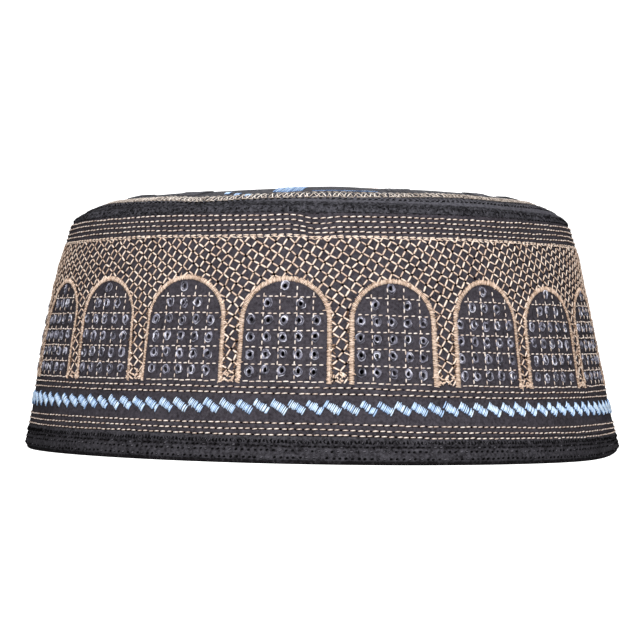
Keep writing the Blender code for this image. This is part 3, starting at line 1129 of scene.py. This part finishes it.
def make_arches():
    """The satin arches: a raised ribbon, and close threads across it."""
    satin = Stitches()
    points, faces, base = [], [], 0
    for arch in ARCH_TABLE:
        line, direction = arch_path(arch, 0.42 * MM)
        share = np.linspace(0, 1, len(line))
        wide = np.interp(share, (0.0, 0.30, 0.42, 0.58, 0.70, 1.0),
                         (arch.left_width, arch.left_width, SATIN_WIDTH, SATIN_WIDTH,
                          arch.right_width, arch.right_width))
        wide = 0.5 * wide * (1.0 + 0.05 * np.sin(7 * share + seeded.uniform(0, tau)))
        sew_satin(satin, arch, line, direction, wide)
        ribbon_points, ribbon_faces = ribbon(arch, line[::3], direction[::3], wide[::3], base)
        points.append(ribbon_points)
        faces.append(ribbon_faces)
        base += len(ribbon_points)
    satin.piece("arch_satin", satin_thread, "side_cloth")
    # The ribbon under the satin has a low shade: painted shade in the gaps between the satin's threads.
    mesh_piece("arch_ribbons", np.concatenate(points), [np.concatenate(faces)], satin_thread,
               np.full(base, 0.40), np.zeros((base, 2)))


def sew_columns(grid, arch):
    """The upright rows of an arch's grid."""
    wide = 0.5 * (arch.right - arch.left) * wall_radius(ARCH_SPRING) - 0.5 * SATIN_WIDTH
    tall = arch.top - ARCH_SPRING - 0.5 * SATIN_WIDTH
    for column in (-1.5, -0.5, 0.5, 1.5):
        across = column * CELL_WIDTH + GRID_SHIFT + seeded.normal(0.0, 0.1 * MM)
        top = ARCH_SPRING + tall * np.sqrt(1 - (across / wide) ** 2)
        height = np.arange(ARCH_FOOT + 1.2 * MM, top - 0.5 * MM, GRID_PITCH)
        height = height + seeded.normal(0.0, 0.08 * MM, len(height))
        angle = 0.5 * sum(arch_legs(arch, height)) + across / wall_radius(height)
        angle = angle + seeded.normal(0.0, 0.06 * MM, len(height)) / wall_radius(height)
        height = height + sag(angle)
        grid.sew(on_wall, at(angle, height - 0.5 * GRID_STITCH),
                 at(angle, height + 0.5 * GRID_STITCH), width=GRID_THREAD)


def sew_crossings(grid, arch):
    """The level rows of an arch's grid, and the longer stitches along its foot."""
    tall = arch.top - ARCH_SPRING - 0.5 * SATIN_WIDTH
    for row in range(6):
        height = ARCH_FOOT + row * CELL_HEIGHT
        radius = wall_radius(height)
        wide = 0.5 * (arch.right - arch.left) * radius - 0.5 * SATIN_WIDTH
        share = max(0.0, (height - ARCH_SPRING) / tall)
        reach = wide * np.sqrt(1 - share ** 2) - 0.4 * MM
        pitch, stitch = (GRID_PITCH, GRID_STITCH) if row else (ROW_PITCH, ROW_STITCH)
        count = int(2 * reach / pitch) + 1
        across = (np.arange(count) - 0.5 * (count - 1)) * 2 * reach / count
        across = across + seeded.normal(0.0, 0.08 * MM, count)
        angle = 0.5 * sum(arch_legs(arch, height)) + across / radius
        heights = height + sag(angle) + seeded.normal(0.0, 0.07 * MM, count)
        grid.sew(on_wall, at(angle - 0.5 * stitch / radius, heights - 0.04 * MM),
                 at(angle + 0.5 * stitch / radius, heights + 0.04 * MM), width=GRID_THREAD)


def make_grid():
    """The grid of small running stitches inside each arch, and the row along its foot."""
    grid = Stitches()
    for arch in ARCH_TABLE:
        sew_columns(grid, arch)
        sew_crossings(grid, arch)
    grid.piece("arch_grids", pale_thread, "side_cloth")


def sew_scattered(tangle, angle, height, radius, turns, reaches, **thread):
    """Short threads that lie any way within turns, as far each way from their middles as reaches
    allow."""
    turn = seeded.uniform(*turns, len(angle))
    reach = seeded.uniform(*reaches, len(angle)) * MM
    x, z = reach * np.cos(turn) / radius, reach * np.sin(turn)
    height = height + sag(angle)
    tangle.sew(on_wall, at(angle - x, height - z), at(angle + x, height + z), **thread)


def make_tangles():
    """Crowded stitches where the feet of two arches and the net meet the row below, and stray
    threads along the outer sides of the legs, dark brown as painted shade beside the satin."""
    tangle = Stitches()
    for arch, after in zip(ARCH_TABLE, ARCH_TABLE[1:] + ARCH_TABLE[:1]):
        left, right = arch.right, after.left
        if right < left - pi:
            right += tau
        angle = left + (right - left) * seeded.uniform(-0.15, 1.15, 22)
        height = ARCH_FOOT + seeded.uniform(0.0, 1.0, 22) ** 1.5 * 2.6 * MM
        sew_scattered(tangle, angle, height, wall_radius(ARCH_FOOT), (-0.9, 1.3), (0.4, 0.8),
                      width=0.44 * MM, lift=0.22 * MM)
        for leg, outwards, owner in ((1, 1.0, arch), (0, -1.0, after)):
            height = ARCH_FOOT + seeded.uniform(0.0, 1.0, 34) * 20 * MM
            away = SATIN_WIDTH * 0.5 + seeded.uniform(0.0, 0.7, 34) * MM
            radius = wall_radius(height)
            angle = arch_legs(owner, height)[leg] + outwards * away / radius
            # Their low shade is painted shade beside the satin's legs.
            sew_scattered(tangle, angle, height, radius, (-1.1, 1.1), (0.25, 0.5),
                          width=0.36 * MM, lift=0.06 * MM, shade=(0.25, 0.72))
    tangle.piece("leg_tangles", satin_thread, "side_cloth")


def make_eyelet_threads():
    """Three uneven rings of grey thread round each eyelet."""
    rings = Loops()
    angle, height = EYELETS.T
    radius = wall_radius(height)
    for across, up, thick, lift in ((1.24, 1.44, 0.26, 0.05), (0.98, 1.18, 0.38, 0.14),
                                    (0.70, 0.90, 0.36, 0.20)):
        shifted = angle + seeded.normal(0.0, 0.07 * MM, len(angle)) / radius
        rings.lay(shifted, height + seeded.normal(0.0, 0.07 * MM, len(angle)), across * MM,
                  up * MM, thick * MM, lift * MM, 0.08)
    rings.piece("eyelet_threads", grey_thread, "side_cloth")


def make_blue_band():
    """The blue band: slanted blocks of close threads all round."""
    radius = wall_radius(BLUE_HEIGHT)
    band = Stitches()
    angles = np.arange(BLUE_BLOCKS) * tau / BLUE_BLOCKS + FIRST_BLUE_BLOCK
    for number in range(BLUE_THREADS):
        away = (number - 0.5 * (BLUE_THREADS - 1)) * 0.50 * MM
        x = away * cos(BLUE_SLOPE) + seeded.normal(0.0, 0.07 * MM, BLUE_BLOCKS)
        z = BLUE_HEIGHT + away * sin(BLUE_SLOPE) + seeded.normal(0.0, 0.10 * MM, BLUE_BLOCKS)
        z = z + 0.2 * sag(angles)
        half = 1.32 * MM * seeded.uniform(0.84, 1.14, BLUE_BLOCKS)
        reach_x, reach_z = half * cos(BLUE_LEAN), half * sin(BLUE_LEAN)
        low = at(angles + (x - reach_x) / radius, z - reach_z)
        high = at(angles + (x + reach_x) / radius, z + reach_z)
        band.sew(on_wall, low, high, width=0.50 * MM, lift=0.18 * MM, crown=0.16 * MM,
                 flat=1.0, shade=(0.92, 1.18), end_shade=0.25, edge_shade=0.7,
                 swell=(1.0, 0.95, 0.55))
    band.piece("blue_band", blue_thread, "side_cloth")


def make_hem_stitches():
    """Black stitches round the hem: a row of small hooks, and three rows of spots under it."""
    rows = Stitches()
    # The wide shade ranges let some black stitches reach the black thread's painted glint, as light
    # flecks.
    for height in HEM_SPOTS:
        running_row(rows, on_hem, height, wall_radius(height), rise=0.30 * MM, length=0.95 * MM,
                    pitch=1.80 * MM, width=0.58 * MM, lift=0.03 * MM, shade=(0.3, 1.3))
    radius = wall_radius(HEM_HOOKS)
    for lean in (-1.0, 1.0):
        angle = row_angles(radius, 1.06 * MM) + 0.5 * lean * 0.27 * MM / radius
        half = 0.62 * MM * seeded.uniform(0.7, 1.2, len(angle))
        turned = lean * seeded.uniform(0.25, 0.75, len(angle))
        height = HEM_HOOKS + seeded.normal(0.0, 0.12 * MM, len(angle))
        low = at(angle - half * np.sin(turned) / radius, height - half * np.cos(turned))
        high = at(angle + half * np.sin(turned) / radius, height + half * np.cos(turned))
        rows.sew(on_hem, low, high, width=0.42 * MM, lift=0.05 * MM, shade=(0.2, 1.2))
    rows.piece("hem_stitches", black_thread, "hem_cloth")


def make_shoulder_stitches():
    """Black stitches on the shoulder: a row at its foot, two outside the crown's ring and more
    where the ring lies further in, and small upright ones at the foot of the puckers."""
    rows = Stitches()
    foot = SIDE_HEIGHT + 0.35 * MM
    running_row(rows, on_wall, foot, wall_radius(foot), rise=0.1 * MM, length=1.3 * MM, lift=0.0,
                pitch=2.0 * MM, width=0.42 * MM, moved=lambda angle: 0.8 * wander(angle))
    for radius in SHOULDER_ROWS:
        running_row(rows, on_top, radius, radius, rise=0.05 * MM, length=1.1 * MM,
                    pitch=1.75 * MM, width=0.46 * MM, lift=0.12 * MM, shade=(0.3, 1.1))
    for radius in EXTRA_ROWS:
        angle = row_angles(radius, 1.6 * MM)
        angle = angle[ring_pull(angle) > RING_OUTER + 0.6 * MM - radius]
        half = 0.45 * MM / radius
        # High shade mixes the black thread's painted glint colour into these stitches, so they are
        # lighter grey.
        rows.sew(on_top, at(angle - half, radius), at(angle + half, radius),
                 width=0.34 * MM, lift=0.08 * MM, shade=(0.8, 1.6))
    count = 2 * PUCKERS
    angle = (np.arange(count) + seeded.normal(0.0, 0.3, count)) * tau / count
    foot = SIDE_HEIGHT + seeded.uniform(0.3, 2.0, count) * MM
    top = foot + seeded.uniform(0.4, 1.2, count) * MM
    lean = seeded.normal(0.0, 0.005, count)
    rows.sew(on_wall, at(angle, foot), at(angle + lean, top),
             width=0.30 * MM, lift=0.26 * MM, shade=(0.6, 1.3))
    rows.piece("shoulder_stitches", black_thread, "shoulder_cloth")


# Embroidery on the crown

def make_crown_ring():
    """The pale ring round the crown: two borders, and slanted stitches between them."""
    ring = Stitches()
    over = 0.10 * MM
    running_row(ring, on_edge, RING_OUTER, RING_OUTER, rise=0.1 * MM, length=1.98 * MM, lift=over,
                width=0.50 * MM, shade=(0.75, 1.1), edge_shade=0.5)
    running_row(ring, on_edge, RING_INNER, RING_INNER, rise=0.3 * MM, lift=over, width=0.34 * MM,
                shade=(0.7, 1.1))
    step = tau / RING_CELLS
    for lean in (-0.5, 0.5):
        angles = np.arange(RING_CELLS) * step + seeded.normal(0.0, 0.14, RING_CELLS) * step
        lean = lean * seeded.uniform(0.5, 1.2, RING_CELLS)
        start = at(angles - lean * step, RING_INNER + 0.2 * MM)
        end = at(angles + lean * step, RING_OUTER - 0.2 * MM)
        # Painted shade: the slanted stitches are darker towards the cap's sides, most on its right, and
        # edge_shade darkens their sides.
        painted_side_shade = 1.0 - 0.12 * np.sin(angles) ** 2 - 0.14 * np.clip(np.sin(angles), 0.0, 1.0)
        ring.sew(on_edge, start, end, width=0.48 * MM, lift=over, crown=0.2 * MM,
                 shade=(0.8 * painted_side_shade, 1.28 * painted_side_shade), edge_shade=0.46, swell=(0.9, 0.9, 1.0))
    ring.piece("crown_ring", ring_thread, "crown_cloth")


def make_crown_medallions():
    """Satin petals inside the ring. Every fourth is blue and lies between three small blocks and a
    thin line, and the rest are dark."""
    blue, dark = Stitches(), Stitches()
    over = 0.12 * MM
    satin = dict(lift=over, crown=0.16 * MM, shade=(0.75, 1.15), end_shade=0.4)
    for number in range(MEDALLIONS):
        middle = FIRST_MEDALLION + number * tau / MEDALLIONS
        share = np.linspace(-1.0, 1.0, 18)
        angle = middle + share * radians(3.7)
        low = (55.5 + 2.2 * np.abs(share)) * MM
        top = (67.5 - 1.5 * np.abs(share) ** 1.6) * MM
        petals = dark if number % 4 else blue
        petals.sew(on_edge, at(angle - 0.012, top), at(angle + 0.012, low),
                   width=0.42 * MM, **satin)
        if number % 4:
            continue
        angle = middle + np.linspace(radians(5.8), radians(22.0), 26)
        blue.sew(on_edge, at(angle, 66.4 * MM), at(angle + 0.014, 65.7 * MM), width=0.30 * MM,
                 lift=over, shade=(0.6, 0.95))
        for turned, radius in ((-17.4, 64.0), (-13.5, 66.6), (-10.0, 68.4)):
            angle = middle + radians(turned) + (np.arange(5) - 2.0) * 0.36 / radius
            blue.sew(on_edge, at(angle, (radius + 1.3) * MM), at(angle, (radius - 1.3) * MM),
                     width=0.42 * MM, **satin)
    blue.piece("crown_blue", blue_thread, "crown_cloth")
    dark.piece("crown_dark", dark_thread, "crown_cloth")


def make_crown_rows():
    """The middle of the crown: running rows, and two rings of petals."""
    tan = Stitches()
    over = 0.12 * MM
    for radius in CROWN_ROWS:
        running_row(tan, on_top, radius, radius, rise=0.04 * MM, lift=over)
    for number in range(PETALS):
        middle = FIRST_PETAL + number * tau / PETALS
        share = np.linspace(-1.0, 1.0, 61)
        for inner, outer, half in PETAL_SIZES:
            along = (0.5 * (outer + inner) + 0.5 * (outer - inner) * share) * MM
            wide = half * MM * np.sqrt(np.clip(1 - share ** 2, 0, 1))
            for side in (-1, 1):
                line = at(middle + side * wide / along, along)
                inner_line = at(middle + side * np.maximum(wide - 1.3 * MM, 0) / along, along)
                tan.sew(on_top, inner_line, line, width=0.46 * MM, lift=over, crown=0.15 * MM)
    tan.piece("crown_rows", tan_thread, "crown_cloth")


def make_crown_star():
    """A star of satin in the middle of the crown."""
    blue = Stitches()
    for number in range(STAR_POINTS):
        middle = number * tau / STAR_POINTS
        outwards = np.array([sin(middle), -cos(middle)])
        aside = np.array([cos(middle), sin(middle)])
        for share in np.linspace(0.0, 1.0, STAR_THREADS):
            reach = 12.4 * MM * (1 - abs(2 * share - 1)) + 0.4 * MM
            away = (share - 0.5) * 5.2 * MM
            start = outwards * 0.8 * MM + aside * away * 0.25
            end = outwards * reach + aside * away
            blue.sew(on_crown, [start], [end], width=0.42 * MM, lift=0.12 * MM, crown=0.2 * MM)
    blue.piece("crown_star", blue_thread, "crown_cloth")


# Stage

# Brighter than white, so that the camera sees no shade on it
STAGE_WHITE = 1.6


def make_stage():
    """A white floor and room, which send little light back."""
    bpy.ops.mesh.primitive_plane_add(size=6.0, location=(0, 0, -0.0002))
    floor = bpy.context.object
    floor.name = "floor"
    floor.data.materials.append(white_stage_finish("white_floor", STAGE_WHITE))
    world = bpy.data.worlds.new("white_room")
    bpy.context.scene.world = world
    world.use_nodes = True
    tree = world.node_tree
    tree.nodes.clear()
    seen = node(tree, "LightPath").outputs["Is Camera Ray"]
    bright = node(tree, "Background", {"Color": (1, 1, 1, 1), "Strength": STAGE_WHITE})
    room = node(tree, "Background", {"Color": (0.98, 0.98, 1.0, 1), "Strength": 0.12})
    mixed = node(tree, "MixShader", {0: seen, 1: room.outputs[0], 2: bright.outputs[0]})
    node(tree, "OutputWorld", {"Surface": mixed.outputs[0]})


def soft_light(name, place, aim, size, power):
    """A square soft light at a place, turned to where it aims."""
    bpy.ops.object.light_add(type="AREA", location=place)
    light = bpy.context.object
    light.name = name
    light.data.shape = "SQUARE"
    light.data.size = size
    light.data.energy = power
    away = Vector(aim) - Vector(place)
    light.rotation_euler = away.to_track_quat("-Z", "Y").to_euler()


def make_lights():
    """A light before the cap and above the camera, one over it and one behind it."""
    soft_light("front_light", (0.0, -0.74, 0.36), (0, 0, 0.04), 0.4, 8.4)
    soft_light("top_light", (0.1, -0.1, 1.0), (0, 0, 0.06), 0.7, 3.0)
    soft_light("back_light", (0.1, 1.1, 0.45), (0, 0, 0.04), 0.6, 7.0)


def make_camera():
    """A long lens level with the cap's lower half, tipped up a little and turned a little."""
    camera = bpy.data.cameras.new("camera")
    camera.lens = 130.95
    camera.sensor_width = 36.0
    camera.clip_start = 0.01
    view = bpy.data.objects.new("camera", camera)
    bpy.context.collection.objects.link(view)
    view.location = (-0.0003, -0.740, 0.0315)
    view.rotation_euler = (radians(90 + 0.773), radians(-0.94), 0.0)
    bpy.context.scene.camera = view
    bpy.context.scene.view_settings.view_transform = "Standard"


make_camera()
make_stage()
make_lights()
make_side_cloth()
make_hem_binding()
make_shoulder_cloth()
make_crown_cloth()
make_running_rows()
make_net()
make_arches()
make_grid()
make_tangles()
make_eyelet_threads()
make_blue_band()
make_hem_stitches()
make_shoulder_stitches()
make_crown_ring()
make_crown_medallions()
make_crown_rows()
make_crown_star()
deselect()
